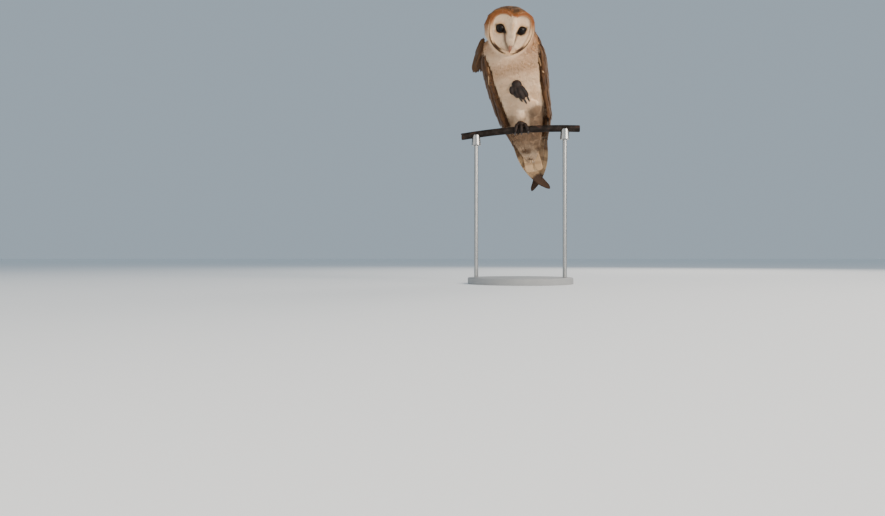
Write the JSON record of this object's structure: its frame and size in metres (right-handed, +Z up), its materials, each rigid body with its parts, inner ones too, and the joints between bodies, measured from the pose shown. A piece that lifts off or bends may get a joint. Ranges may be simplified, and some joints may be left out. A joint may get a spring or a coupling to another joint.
{
  "type": "barn owl",
  "caption": "Still, life-size barn owl standing on one foot on a short bent iron rod, the other foot drawn up against its belly, on a plain display stand.",
  "frame": {"origin": "centre of the underside of the stand's base, on the floor", "axes": "+Z up; the bird faces -Y and leans forward over the rod; +X is the bird's left, and the rod runs along X"},
  "size_m": [0.2253, 0.201, 0.5171],
  "materials": {
    "breast_feathers": "white to buff body feathers, soft and matt, finely speckled on the bib and flanks",
    "face_feathers": "off-white hair-like face feathers with a gold and brown ruff",
    "crown_feathers": "golden buff feathers, peppered with grey",
    "wing_feathers": "golden brown feathers with grey peppering and dark bars",
    "tail_feathers": "pale buff feathers with faint grey-brown bars",
    "eye": "glossy blackish-brown",
    "bill": "pale horn, satin",
    "foot_skin": "dark grey-brown scaly skin",
    "claw": "blackish horn, satin",
    "perch_iron": "dark weathered iron rod, bent",
    "stand_paint": "plain grey satin paint",
    "stand_steel": "brushed steel"
  },
  "bodies": {
    "root": {"bill_lower": "bill", "bill_upper": "bill", "claw_left_hind": "claw", "claw_left_inner": "claw", "claw_left_middle": "claw", "claw_left_outer": "claw", "claw_right_hind": "claw", "claw_right_inner": "claw", "claw_right_middle": "claw", "claw_right_outer": "claw", "eye_left": "eye", "eye_right": "eye", "facial_disc": "face_feathers", "foot_left": "foot_skin", "foot_right": "foot_skin", "head": "crown_feathers", "neck": "breast_feathers", "perch": "perch_iron", "shank_right": "breast_feathers", "stand_base": "stand_paint", "stand_collar_left": "stand_steel", "stand_collar_right": "stand_steel", "stand_rod_left": "stand_steel", "stand_rod_right": "stand_steel", "tail": "tail_feathers", "thigh_left": "breast_feathers", "thigh_right": "breast_feathers", "toe_left_hind": "foot_skin", "toe_left_inner": "foot_skin", "toe_left_middle": "foot_skin", "toe_left_outer": "foot_skin", "toe_right_hind": "foot_skin", "toe_right_inner": "foot_skin", "toe_right_middle": "foot_skin", "toe_right_outer": "foot_skin", "trunk": "breast_feathers", "wing_left_coverts": "wing_feathers", "wing_left_primaries": "wing_feathers", "wing_left_secondaries": "wing_feathers", "wing_right_coverts": "wing_feathers", "wing_right_primaries": "wing_feathers", "wing_right_ruffle": "wing_feathers", "wing_right_secondaries": "wing_feathers"}
  },
  "joints": []
}
